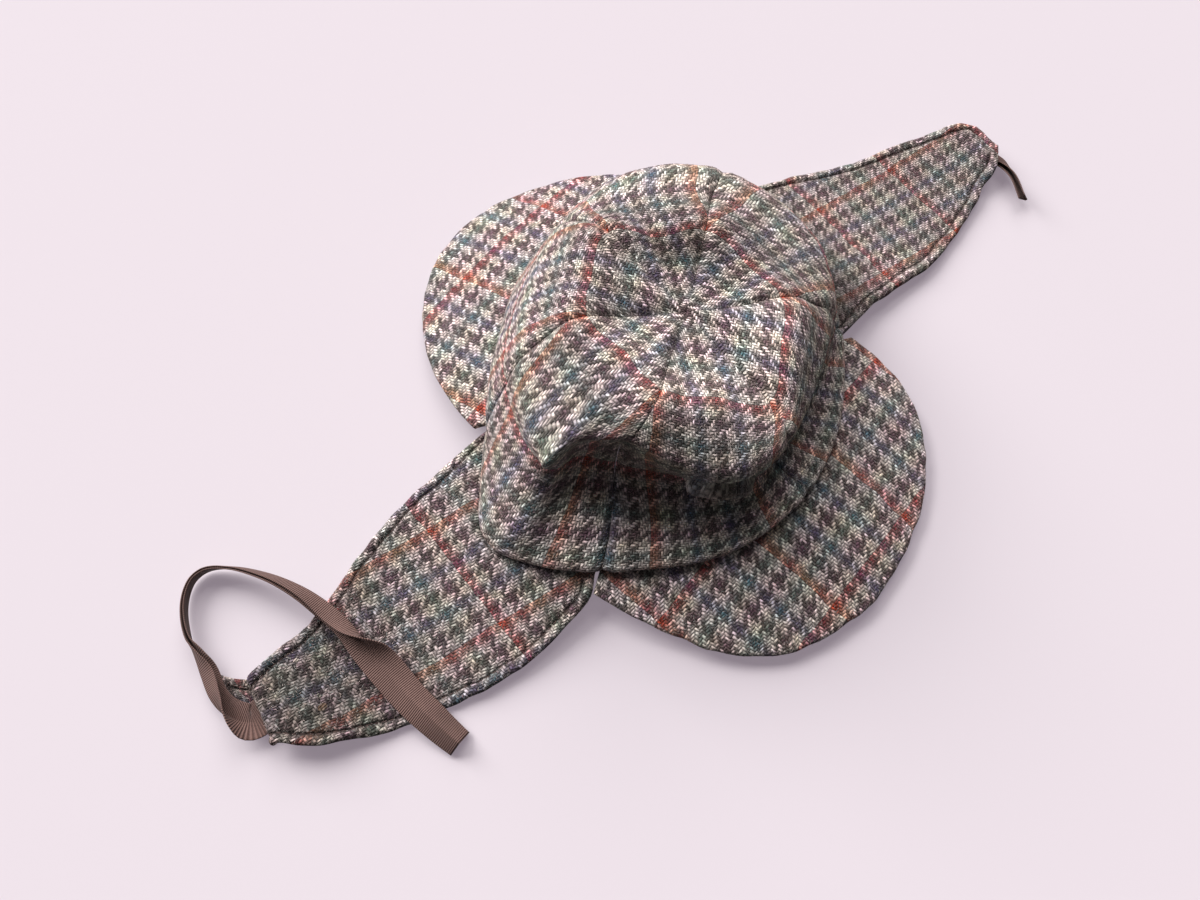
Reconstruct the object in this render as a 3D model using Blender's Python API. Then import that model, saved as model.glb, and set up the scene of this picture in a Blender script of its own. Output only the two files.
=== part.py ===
import math

import bpy
from mathutils import Vector

for old in list(bpy.data.objects):
    bpy.data.objects.remove(old, do_unlink=True)

# main sizes, in millimetres unless the name says otherwise
mm = 0.001
crownCloth = 2.0            # tweed and lining of the crown together
peakCloth = 3.4             # two layers of tweed over a stiffener
flapCloth = 3.0             # two layers of tweed
ribbonCloth = 0.6           # grosgrain
ribbonWidth = 16.0          # opened flat
ribbonCreaseRadius = 0.55   # round of the lengthwise fold
pieceGap = 0.3              # air kept between neighbouring pieces
goreLength = 145.0          # cloth from the centre of the crown to the head line
goreTip = 1.2               # cloth left open round the very centre
footRise = 5.0              # upright part of the crown just above the head line
ledge = 2.2                 # how far peaks and flaps reach in under the crown wall
seamHalf = 0.22             # half the air in a crown seam
crownCentre = (23.0, 5.0, 60.0)   # dented centre of the crown

# head line: turn in degrees, distance from the middle, height of the seam
ringColumns = ("turn", "radius", "height")
ringRows = (
    (-180, 102, 9.0),
    (-165, 96, 11.0),
    (-149, 88, 14.0),
    (-133, 84, 16.0),
    (-106, 84, 18.0),
    (-73, 85, 18.0),
    (-42, 89, 15.0),
    (-24, 96, 12.0),
    (0, 105, 9.5),
    (27, 101, 12.0),
    (54, 94, 16.0),
    (80, 90, 18.0),
    (100, 82, 18.0),
    (125, 73, 17.0),
    (149, 77, 14.0),
    (165, 88, 11.0),
)

# crown sections: seam or panel turn, how far the foot, the fold and the crest have slipped round
# from it, then the distance from the crown's axis and the height of the cloth at each level
crownColumns = ("turn", "footTurn", "foldTurn", "crestTurn", "wallR", "wallZ", "waistR", "waistZ",
                "tuckR", "tuckZ", "lipR", "lipZ", "crestR", "crestZ", "dentR", "dentZ")
crownRows = (
    (-180, 0, 0, 2, 91, 28, 80, 50, 72, 63, 61, 74, 44, 80, 22, 69),
    (-173, 0, -1, 2, 90, 28, 79, 50, 73, 64, 63, 75, 45, 80, 22, 69),
    (-165, 0, -6, 2, 82, 27, 63, 40, 54, 61, 57, 75, 47, 80, 23, 69),
    (-150, 2, -7, 1, 73, 27, 56, 36, 56, 60, 61, 72, 51, 80, 25, 67),
    (-135, 5, 0, 0, 71, 26, 55, 35, 62, 57, 65, 68, 51, 75, 25, 64),
    (-120, 6, 3, 0, 72, 26, 59, 34, 71, 52, 70, 63, 50, 69, 25, 62),
    (-105, 8, 4, -1, 75, 25, 62, 32, 71, 47, 70, 57, 54, 60, 27, 59),
    (-90, 11, 5, -1, 72, 23, 60, 28, 67, 39, 67, 49, 58, 52, 29, 56),
    (-60, 9, 4, -6, 73, 22, 62, 29, 67, 39, 62, 49, 48, 59, 24, 57),
    (-30, 7, 3, -2, 88, 21, 83, 29, 76, 40, 66, 49, 47, 58, 24, 57),
    (0, 0, 0, -5, 105, 22, 97, 35, 79, 46, 63, 54, 40, 60, 21, 57),
    (30, -1, 0, 3, 103, 25, 96, 42, 83, 53, 65, 61, 41, 66, 23, 58),
    (60, -4, -1, 9, 97, 30, 90, 50, 78, 62, 62, 68, 37, 73, 21, 60),
    (90, -7, -2, 4, 85, 31, 78, 47, 72, 60, 65, 69, 50, 76, 27, 65),
    (120, 0, 0, 6, 76, 30, 71, 46, 66, 60, 60, 72, 46, 80, 23, 68),
    (150, 3, 1, 3, 79, 30, 73, 48, 69, 61, 63, 72, 49, 81, 25, 69),
)
# level: cloth left above it, how far its axis has moved to the crown's centre, share of each slip
levelColumns = ("name", "cloth", "shift", "footShare", "foldShare", "crestShare")
levelRows = (
    ("wall", 122.0, 0.18, 0.7, 0.2, 0.0),
    ("waist", 99.0, 0.41, 0.0, 1.0, 0.0),
    ("tuck", 83.0, 0.55, 0.0, 0.9, 0.0),
    ("lip", 72.0, 0.69, 0.0, 0.4, 0.5),
    ("crest", 48.0, 1.0, 0.0, 0.0, 1.0),
    ("dent", 24.0, 1.0, 0.0, 0.0, 0.6),
)

# crown panels: name, turn of the middle of each
panelNames = (
    ("crown_panel_front_right", -120),
    ("crown_panel_front_left", -60),
    ("crown_panel_left", 0),
    ("crown_panel_back_left", 60),
    ("crown_panel_back_right", 120),
    ("crown_panel_right", 180),
)

# peak edges: turn, distance of the outer edge, height of its middle layer
peakColumns = ("turn", "reach", "height")
frontPeakRows = (
    (-149, 92.5, 11.0),
    (-136, 105, 8.5),
    (-127, 113, 6.5),
    (-118, 123.5, 4.5),
    (-108, 131.5, 2.6),
    (-98, 135, 1.9),
    (-88, 137, 1.7),
    (-77, 135.5, 1.9),
    (-66, 134, 2.4),
    (-56, 131, 3.2),
    (-46, 126, 4.6),
    (-36, 116, 6.8),
    (-25, 102, 9.5),
)
backPeakRows = (
    (28, 106, 9.5),
    (40, 119, 6.8),
    (52, 127, 4.2),
    (63, 131, 2.6),
    (77, 134, 1.8),
    (90, 135, 1.7),
    (102, 130.5, 2.0),
    (114, 120.5, 3.4),
    (125, 109, 5.6),
    (136, 96, 8.2),
    (148, 83.5, 11.0),
)

# flap sections away from the head line: both ends, the height and how far the middle bows in x
flapColumns = ("backX", "backY", "frontX", "frontY", "height", "bow")
rightFlapRows = (
    (-100, 41, -101, -52, 5.0, -11),
    (-119, 41, -120, -52.5, 2.2, -3),
    (-133, 39, -134, -50.5, 1.6, 0),
    (-147, 36.5, -147, -47.5, 1.6, 0),
    (-159, 33, -160, -43.5, 1.6, 0),
    (-171, 29.5, -175, -38, 1.6, 0),
    (-185, 27, -192, -30.5, 3.6, 0),
    (-201, 25.5, -210, -19.5, 8.2, 0),
    (-214.5, 25.0, -223.5, -6.0, 10.0, 0),
    (-216.3, 24.6, -225.2, -5.6, 8.4, 0),
    (-214.5, 24.2, -223.0, -5.2, 6.8, 0),
    (-206, 22, -212, -7.0, 6.7, 0),
    (-197, 19, -201, -9.0, 6.7, 0),
    (-194.6, 18.4, -198.4, -9.4, 4.2, 0),
    (-197, 18, -201, -9.0, 1.7, 0),
    (-209, 20, -213, -5.0, 1.7, 0),
    (-218, 26, -224, 8.0, 1.7, 0),
    (-226, 36, -231, 26, 1.7, 0),
)
leftFlapRows = (
    (113, 50, 112, -38, 5.0, 5),
    (131, 45, 132, -39.5, 2.4, 2),
    (150, 36, 153, -42, 1.6, 0),
    (170, 26, 173, -40, 1.6, 0),
    (196, 17, 196, -35, 2.4, 0),
    (216.5, 8.5, 211, -30, 5.0, 0),
    (226.5, 3.0, 221, -27.5, 8.2, 0),
    (231, -5, 230, -21, 9.0, 0),
)

# ribbon stations along the crease: position, lean of the fold, half opening of the fold
ribbonColumns = ("x", "y", "z", "lean", "open")
rightRibbonRows = (
    (-206, 9, 4.15, 90, 90),
    (-216, 9, 4.15, 90, 90),
    (-227, 9.5, 4.15, 94, 86),
    (-231, 14, 4.2, 118, 58),
    (-234.2, 21.5, 4.2, 144, 31),
    (-234.5, 30, 4.2, 158, 17),
    (-232, 40, 3.6, 160, 13),
    (-229.5, 48, 2.6, 125, 12),
    (-226.5, 57, 1.6, 97, 10),
    (-219.5, 70, 1.4, 93, 8),
    (-210.5, 77.5, 1.4, 95, 7),
    (-202, 77.5, 1.6, 97, 6),
    (-193, 70.5, 2.8, 103, 5),
    (-185.5, 60.5, 4.6, 111, 5),
    (-179, 49, 6.2, 122, 6),
    (-173.8, 36, 7.2, 140, 7),
    (-170.5, 22, 7.8, 168, 11),
    (-169.8, 11, 7.8, 158, 26),
    (-170.7, 2, 7.4, 132, 54),
    (-171.2, -7, 7.2, 106, 84),
    (-171.4, -18, 7.4, 94, 102),
    (-171.2, -30, 7.8, 90, 110),
    (-170.2, -41, 8.0, 90, 116),
    (-169.2, -50, 7.2, 90, 124),
    (-168, -58, 6.6, 90, 131),
)
leftRibbonRows = (
    (231, -9, 1.9, 180, 5),
    (231, -16, 2.0, 175, 5),
    (231, -22, 2.2, 174, 5),
    (231, -27, 2.4, 162, 6),
    (228.8, -32.5, 2.6, 138, 7),
    (225.6, -39.5, 2.6, 124, 8),
    (220.8, -50.3, 2.4, 132, 9),
)


def readRows(columns, rows):
    return [dict(zip(columns, row)) for row in rows]


def hermite(p0, p1, m0, m1, t):
    t2, t3 = t * t, t * t * t
    return p0 * (2 * t3 - 3 * t2 + 1) + m0 * (t3 - 2 * t2 + t) + p1 * (3 * t2 - 2 * t3) + m1 * (t3 - t2)


def alongKnots(knots, values, at):
    """Smooth value between knots."""
    last = len(knots) - 1
    k = 0
    while k < last - 1 and at > knots[k + 1]:
        k += 1
    span = knots[k + 1] - knots[k]
    chord = (values[k + 1] - values[k]) / span
    before = chord if k == 0 else (values[k + 1] - values[k - 1]) / (knots[k + 1] - knots[k - 1])
    after = chord if k == last - 1 else (values[k + 2] - values[k]) / (knots[k + 2] - knots[k])
    return hermite(values[k], values[k + 1], before * span, after * span, (at - knots[k]) / span)


def roundTurns(rows, column, turn):
    """Smooth value between rows that close round a full turn."""
    turns = [row["turn"] for row in rows]
    values = [row[column] for row in rows]
    turn = (turn - turns[0]) % 360 + turns[0]
    knots = [t - 360 for t in turns[-2:]] + turns + [t + 360 for t in turns[:3]]
    values = values[-2:] + values + values[:3]
    return alongKnots(knots, values, turn)


ring = readRows(ringColumns, ringRows)
crown = readRows(crownColumns, crownRows)
levels = readRows(levelColumns, levelRows)


def ringPoint(turn, inward=0.0, above=0.0):
    radius = roundTurns(ring, "radius", turn) - inward
    a = math.radians(turn)
    return Vector((radius * math.cos(a), radius * math.sin(a), roundTurns(ring, "height", turn) + above))


def crownPoint(turn, cloth):
    """Outer face of the crown at a turn and a length of cloth from its centre."""
    slips = {name: roundTurns(crown, name + "Turn", turn) for name in ("foot", "fold", "crest")}
    foot = ringPoint(turn + slips["foot"], 0.0, pieceGap)
    knots = [0.0]
    points = [Vector(crownCentre)]
    for level in reversed(levels):
        r = roundTurns(crown, level["name"] + "R", turn)
        z = roundTurns(crown, level["name"] + "Z", turn)
        a = math.radians(turn + sum(slip * level[name + "Share"] for name, slip in slips.items()))
        knots.append(level["cloth"])
        points.append(Vector((crownCentre[0] * level["shift"] + r * math.cos(a),
                              crownCentre[1] * level["shift"] + r * math.sin(a), z)))
    knots += [goreLength - footRise, goreLength]
    points += [foot + Vector((0, 0, footRise)), foot]
    return alongKnots(knots, points, cloth)


def ease(low, high, value):
    t = min(max((value - low) / (high - low), 0.0), 1.0)
    return t * t * (3 - 2 * t)


def crownNormal(turn, cloth):
    step = 1.5
    across = crownPoint(turn + step, cloth) - crownPoint(turn - step, cloth)
    down = crownPoint(turn, min(cloth + step, goreLength)) - crownPoint(turn, max(cloth - step, 0.5))
    free = down.cross(across).normalized()
    upright = Vector((across.y, -across.x, 0)).normalized()
    free = free.lerp(upright, ease(goreLength - 26, goreLength - footRise, cloth))
    free = Vector((0, 0, 1)).lerp(free, ease(0, 30, cloth))
    return free.normalized()


def shell(name, top, bottom, material):
    """Closed sheet of cloth between two grids of points."""
    rows, cols = len(top), len(top[0])
    points = [p * mm for line in top for p in line] + [p * mm for line in bottom for p in line]
    faces = []
    base = rows * cols
    for i in range(rows - 1):
        for j in range(cols - 1):
            a, b, c, d = i * cols + j, i * cols + j + 1, (i + 1) * cols + j + 1, (i + 1) * cols + j
            faces.append((d, c, b, a))
            faces.append((base + a, base + b, base + c, base + d))
    edge = [j for j in range(cols)]
    edge += [i * cols + cols - 1 for i in range(1, rows)]
    edge += [(rows - 1) * cols + j for j in range(cols - 2, -1, -1)]
    edge += [i * cols for i in range(rows - 2, 0, -1)]
    for k, a in enumerate(edge):
        b = edge[(k + 1) % len(edge)]
        faces.append((a, b, base + b, base + a))
    mesh = bpy.data.meshes.new(name)
    mesh.from_pydata(points, [], faces)
    mesh.materials.append(material)
    for polygon in mesh.polygons:
        polygon.use_smooth = True
    mesh.validate()
    mesh.update()
    ob = bpy.data.objects.new(name, mesh)
    bpy.context.scene.collection.objects.link(ob)
    return ob


def cloth(name, colour, roughness, sheen):
    material = bpy.data.materials.new(name)
    material.use_nodes = True
    shader = material.node_tree.nodes["Principled BSDF"]
    shader.inputs["Base Color"].default_value = (*colour, 1.0)
    shader.inputs["Roughness"].default_value = roughness
    shader.inputs["Metallic"].default_value = 0.0
    shader.inputs["Sheen Weight"].default_value = sheen
    return material


def tweed(name):
    return cloth(name, (0.30, 0.26, 0.235), 0.95, 0.3)


def grosgrain(name):
    return cloth(name, (0.235, 0.145, 0.13), 0.75, 0.15)


def offsetGrid(middle, thickness):
    """Both faces of a sheet round its middle layer."""
    rows, cols = len(middle), len(middle[0])
    top, bottom = [], []
    for i in range(rows):
        topLine, bottomLine = [], []
        for j in range(cols):
            along = middle[min(i + 1, rows - 1)][j] - middle[max(i - 1, 0)][j]
            across = middle[i][min(j + 1, cols - 1)] - middle[i][max(j - 1, 0)]
            normal = along.cross(across).normalized()
            topLine.append(middle[i][j] + normal * thickness / 2)
            bottomLine.append(middle[i][j] - normal * thickness / 2)
        top.append(topLine)
        bottom.append(bottomLine)
    return top, bottom


def drawInEnds(grid, amount):
    """Draws the first and last point of every row in, square to the edge they make."""
    moved = [list(line) for line in grid]
    for end, inside in ((0, 1), (-1, -2)):
        for i, line in enumerate(grid):
            edge = grid[min(i + 1, len(grid) - 1)][end] - grid[max(i - 1, 0)][end]
            inward = line[inside] - line[end]
            if edge.length > 0.01:
                edge.normalize()
                inward = inward - edge * inward.dot(edge)
            moved[i][end] = line[end] + inward.normalized() * amount
    return moved


# crown: six gores that meet at the seams
goreCloth = [goreTip, 8, 16, 24, 31, 37, 42, 47, 52, 57, 62, 67, 72, 77, 82, 87, 92, 98, 104, 110, 116,
             122, 128, 134, 140, goreLength]
goreTurns = [-30, -25, -19, -12.5, -6, 0, 6, 12.5, 19, 25, 30]
for name, middleTurn in panelNames:
    outer, inner = [], []
    for length in goreCloth:
        outerLine, innerLine = [], []
        for turn in goreTurns:
            point = crownPoint(middleTurn + turn, length)
            normal = crownNormal(middleTurn + turn, length)
            outerLine.append(point)
            innerLine.append(point - normal * crownCloth)
        for end, inward in ((0, seamHalf), (-1, -seamHalf)):
            turn = middleTurn + goreTurns[end]
            down = crownPoint(turn, min(length + 1, goreLength)) - crownPoint(turn, length - 1)
            side = crownNormal(turn, length).cross(down).normalized() * inward
            outerLine[end] = outerLine[end] + side
            innerLine[end] = innerLine[end] + side
        outer.append(outerLine)
        inner.append(innerLine)
    shell(name, outer, inner, tweed("tweed_" + name))


def peak(name, rows):
    """Peak: flat under the crown wall, then out and down to its curved edge."""
    table = readRows(peakColumns, rows)
    turns = [row["turn"] for row in table]
    reaches = [row["reach"] for row in table]
    heights = [row["height"] for row in table]
    count = 30
    depth = (0.0, 0.16, 0.36, 0.58, 0.8, 1.0)
    middle = []
    for i in range(count + 1):
        turn = turns[0] + (turns[-1] - turns[0]) * i / count
        a = math.radians(turn)
        reach = alongKnots(turns, reaches, turn)
        height = alongKnots(turns, heights, turn)
        start = ringPoint(turn, -1.2, -peakCloth / 2)
        end = Vector((reach * math.cos(a), reach * math.sin(a), height))
        line = [ringPoint(turn, ledge, -peakCloth / 2)]
        for share in depth:
            sag = 1.6 * math.sin(math.pi * share) * min(1.0, (end - start).length / 40)
            line.append(start.lerp(end, share) + Vector((0, 0, sag)))
        middle.append(line)
    swapped = [[middle[i][j] for i in range(count + 1)] for j in range(len(depth) + 1)]
    top, bottom = offsetGrid(drawInEnds(swapped, pieceGap * 0.6), peakCloth)
    shell(name, top, bottom, tweed("tweed_" + name))


peak("peak_front", frontPeakRows)
peak("peak_back", backPeakRows)


def flap(name, rows, firstTurn, lastTurn):
    """Ear flap: from the head line down to the ground and out along its sections."""
    table = readRows(flapColumns, rows)
    across = 10
    lines = []
    for inward in (ledge, -1.2):
        line = []
        for j in range(across + 1):
            line.append(ringPoint(firstTurn + (lastTurn - firstTurn) * j / across, inward, -flapCloth / 2))
        lines.append(line)
    for row in table:
        back = Vector((row["backX"], row["backY"], row["height"]))
        front = Vector((row["frontX"], row["frontY"], row["height"]))
        ends = (back, front) if firstTurn < lastTurn and abs(firstTurn) > 90 else (front, back)
        bows = [Vector((row["bow"] * math.sin(math.pi * j / across), 0, 0)) for j in range(across + 1)]
        lines.append([ends[0].lerp(ends[1], j / across) + bows[j] for j in range(across + 1)])
    knots = [0.0]
    for before, after in zip(lines, lines[1:]):
        knots.append(knots[-1] + (after[across // 2] - before[across // 2]).length)
    stations = []
    for k in range(len(knots) - 1):
        parts = max(1, round((knots[k + 1] - knots[k]) / 14))
        stations += [knots[k] + (knots[k + 1] - knots[k]) * p / parts for p in range(parts)]
    stations.append(knots[-1])
    middle = []
    for at in stations:
        middle.append([alongKnots(knots, [row[j] for row in lines], at) for j in range(across + 1)])
    top, bottom = offsetGrid(drawInEnds(middle, pieceGap * 0.6), flapCloth)
    shell(name, top, bottom, tweed("tweed_" + name))


flap("ear_flap_right", rightFlapRows, 150, 210)
flap("ear_flap_left", leftFlapRows, -24, 27)


def foldSection(length, opening):
    """Place across the folded ribbon: along the fold plane and away from it."""
    angle = math.radians(opening)
    side = -1 if length < 0 else 1
    length = abs(length)
    bend = ribbonCreaseRadius * (math.pi / 2 - angle)
    if length <= bend:
        a = length / ribbonCreaseRadius
        return ribbonCreaseRadius * (1 - math.cos(a)), side * ribbonCreaseRadius * math.sin(a)
    a = bend / ribbonCreaseRadius
    along = ribbonCreaseRadius * (1 - math.cos(a)) + (length - bend) * math.cos(angle)
    away = ribbonCreaseRadius * math.sin(a) + (length - bend) * math.sin(angle)
    return along, side * away


def ribbon(name, rows, spacing):
    table = readRows(ribbonColumns, rows)
    places = [Vector((row["x"], row["y"], row["z"])) for row in table]
    knots = [0.0]
    for before, after in zip(places, places[1:]):
        knots.append(knots[-1] + (after - before).length)
    count = round(knots[-1] / spacing)
    half = ribbonWidth / 2
    acrossPlaces = (-half, -half * 0.55, -1.0, -0.6, -0.3, 0.0, 0.3, 0.6, 1.0, half * 0.55, half)
    middle = []
    for i in range(count + 1):
        at = knots[-1] * i / count
        place = alongKnots(knots, places, at)
        ahead = alongKnots(knots, places, min(at + 1.0, knots[-1]))
        behind = alongKnots(knots, places, max(at - 1.0, 0.0))
        tangent = (ahead - behind).normalized()
        lean = math.radians(alongKnots(knots, [float(row["lean"]) for row in table], at))
        opening = alongKnots(knots, [float(row["open"]) for row in table], at)
        side = Vector((0, 0, 1)).cross(tangent).normalized()
        up = tangent.cross(side)
        out = side * math.cos(lean) + up * math.sin(lean)
        away = tangent.cross(out)
        line = []
        for length in acrossPlaces:
            u, v = foldSection(length, opening)
            line.append(place + out * u + away * v)
        middle.append(line)
    top, bottom = offsetGrid(middle, ribbonCloth)
    shell(name, top, bottom, grosgrain("grosgrain_" + name))


ribbon("ribbon_right", rightRibbonRows, 8.0)
ribbon("ribbon_left", leftRibbonRows, 5.0)
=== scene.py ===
import math

import bpy
import numpy as np
from mathutils import Matrix, Vector, noise


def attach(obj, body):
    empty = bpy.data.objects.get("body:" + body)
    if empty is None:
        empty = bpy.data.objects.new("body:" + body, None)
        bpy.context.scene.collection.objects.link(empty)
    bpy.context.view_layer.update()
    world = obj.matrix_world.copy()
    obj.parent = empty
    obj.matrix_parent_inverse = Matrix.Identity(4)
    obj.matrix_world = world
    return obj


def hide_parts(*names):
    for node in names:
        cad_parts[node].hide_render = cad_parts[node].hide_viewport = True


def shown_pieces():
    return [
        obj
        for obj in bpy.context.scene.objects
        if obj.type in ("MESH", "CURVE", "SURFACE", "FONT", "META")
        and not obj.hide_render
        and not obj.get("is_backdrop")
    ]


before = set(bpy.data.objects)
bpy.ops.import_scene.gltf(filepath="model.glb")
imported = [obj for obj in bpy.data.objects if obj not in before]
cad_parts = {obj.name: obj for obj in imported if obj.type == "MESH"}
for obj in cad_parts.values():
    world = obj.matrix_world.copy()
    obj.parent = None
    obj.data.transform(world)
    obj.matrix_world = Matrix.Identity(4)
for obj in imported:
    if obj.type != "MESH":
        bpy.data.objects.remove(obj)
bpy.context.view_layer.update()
scene = bpy.context.scene
mm = 0.001
print("frame loaded:", len(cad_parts), "nodes")


def hexLinear(text):
    values = [int(text[i:i + 2], 16) / 255 for i in (1, 3, 5)]  # sRGB to linear
    return *(v / 12.92 if v <= 0.04045 else ((v + 0.055) / 1.055) ** 2.4 for v in values), 1


def setInputs(tree, node, inputs):
    for name, value in inputs.items():
        if isinstance(value, bpy.types.NodeSocket):
            tree.links.new(value, node.inputs[name])
        else:
            node.inputs[name].default_value = value


def addNode(tree, kind, inputs=None, out=0, **settings):
    node = tree.nodes.new(kind)
    for name, value in settings.items():
        setattr(node, name, value)
    setInputs(tree, node, inputs or {})
    return node.outputs[out]


def startMaterial(name):
    material = bpy.data.materials.new(name)
    material.use_nodes = True
    return material, material.node_tree, material.node_tree.nodes["Principled BSDF"]


def addObject(name, data):
    piece = bpy.data.objects.new(name, data)
    scene.collection.objects.link(piece)
    return piece


def unit(vectors):
    return vectors / np.maximum(np.linalg.norm(vectors, axis=-1, keepdims=True), 1e-9)


# distance along a line of points
def runLength(points):
    return np.concatenate([[0], np.cumsum(np.linalg.norm(np.diff(points, axis=0), axis=-1))])


def polar(radius, turns, height):
    a = np.radians(turns)
    return np.stack([radius * np.cos(a), radius * np.sin(a), height], -1)


# camera, floor and light
stage = {
    "lens": 31.5,  # mm on a 36 mm sensor
    "place": (-148.5, -124.3, 466.5),  # mm from the middle of the head line
    "heading": 43.0,  # degrees from +Y towards +X
    "down": 70.0,  # degrees below the horizon
    "floor": "#b5b4b5",
    "floorGlow": "#867b85",  # light that the frosted board passes from below
    "floorFlat": 3.0,  # m, radius of the flat floor, then of the curve up to the wall
    "floorCurve": 1.5,
    "wallTop": 5.0,
    "lamps": "#fff6f8",
    "sky": "#f5f1f6",
    "skyStrength": 0.07,
    # soft lamps, where each stands and how wide it looks, in degrees
    "keyLight": {"turn": 97.0, "height": 31.0, "spread": 38.0, "strength": 4.7},
    "fillLight": {"turn": 47.0, "height": 41.0, "spread": 46.0, "strength": 2.4},
}
heading, down = math.radians(stage["heading"]), math.radians(stage["down"])
cameraRight = Vector((math.cos(heading), -math.sin(heading), 0))
cameraLook = Vector((math.sin(heading) * math.cos(down), math.cos(heading) * math.cos(down),
                     -math.sin(down)))
cameraUp = cameraRight.cross(cameraLook)
cameraData = bpy.data.cameras.new("camera")
cameraData.sensor_width = 36
cameraData.lens = stage["lens"]
cameraData.clip_start = 0.01
camera = addObject("camera", cameraData)
camera.matrix_world = Matrix.Translation(Vector(stage["place"]) * mm) @ Matrix(
    (cameraRight, cameraUp, -cameraLook)).transposed().to_4x4()
scene.camera = camera
scene.view_settings.view_transform = "Standard"


def softLight(name, turn, height, spread, strength):
    data = bpy.data.lights.new(name, "SUN")
    data.angle = math.radians(spread)
    data.energy = strength
    data.color = hexLinear(stage["lamps"])[:3]
    lamp = addObject(name, data)
    a, h = math.radians(turn), math.radians(height)
    place = Vector((math.cos(a) * math.cos(h), math.sin(a) * math.cos(h), math.sin(h)))
    lamp.location = place
    lamp.rotation_euler = (-place).to_track_quat("-Z", "Y").to_euler()


for name in ("keyLight", "fillLight"):
    softLight(name, **stage[name])
world = bpy.data.worlds.new("paleRoom")
world.use_nodes = True
setInputs(world.node_tree, world.node_tree.nodes["Background"], {
    "Color": hexLinear(stage["sky"]), "Strength": stage["skyStrength"]})
scene.world = world

# a round sweep: a flat floor that curves up into a pale wall
flat, curve = stage["floorFlat"], stage["floorCurve"]
quarter = np.radians(range(0, 91, 6)).tolist()
sweep = [(flat + curve * math.sin(a), curve - curve * math.cos(a)) for a in quarter]
sweep.append((flat + curve, stage["wallTop"]))
around = np.radians(range(0, 360, 5)).tolist()
sweepPoints = [(r * math.cos(a), r * math.sin(a), z) for r, z in sweep for a in around]
sweepFaces = [tuple(range(len(around)))]
for start in range(0, len(sweepPoints) - len(around), len(around)):
    for i in range(len(around)):
        j = (i + 1) % len(around)
        sweepFaces.append((start + i, start + len(around) + i, start + len(around) + j, start + j))
floorMesh = bpy.data.meshes.new("paleFloor")
floorMesh.from_pydata(sweepPoints, [], sweepFaces)
floorMesh.shade_smooth()
floor = addObject("paleFloor", floorMesh)
# frosted acrylic sheet, lit from below: matt, and its glow keeps the shadows on it pale
acrylic, tree, shader = startMaterial("frosted acrylic light board")
setInputs(tree, shader, {
    "Base Color": hexLinear(stage["floor"]), "Roughness": 0.9,
    "Emission Color": hexLinear(stage["floorGlow"]), "Emission Strength": 1.0})
floorMesh.materials.append(acrylic)
floor.visible_diffuse = False  # the board doesn't light the cloth
floor.visible_shadow = False  # the lamps stand outside the wall
floor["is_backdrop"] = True
print("camera, floor and lights placed")

# materials
tweedLook = {
    "thread": 1.125,  # mm, four light and four dark threads make a 9 mm check
    "warp": {"light": "#ded2c7", "over": "#c4622c", "plain": "#6e534e", "other": "#50678a"},
    "weft": {"light": "#cfc8c0", "over": "#b4303f", "plain": "#765470", "other": "#427d77"},
    "sharedHue": 0.95,  # how far the colours of crossing threads run into each other
    "uneven": 0.9,  # light and dark lengths of yarn
    "patchy": 0.28,  # broad drifts of colour in the blended wool
    "relief": 0.6,  # mm from valley to crown of a thread
}


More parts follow.
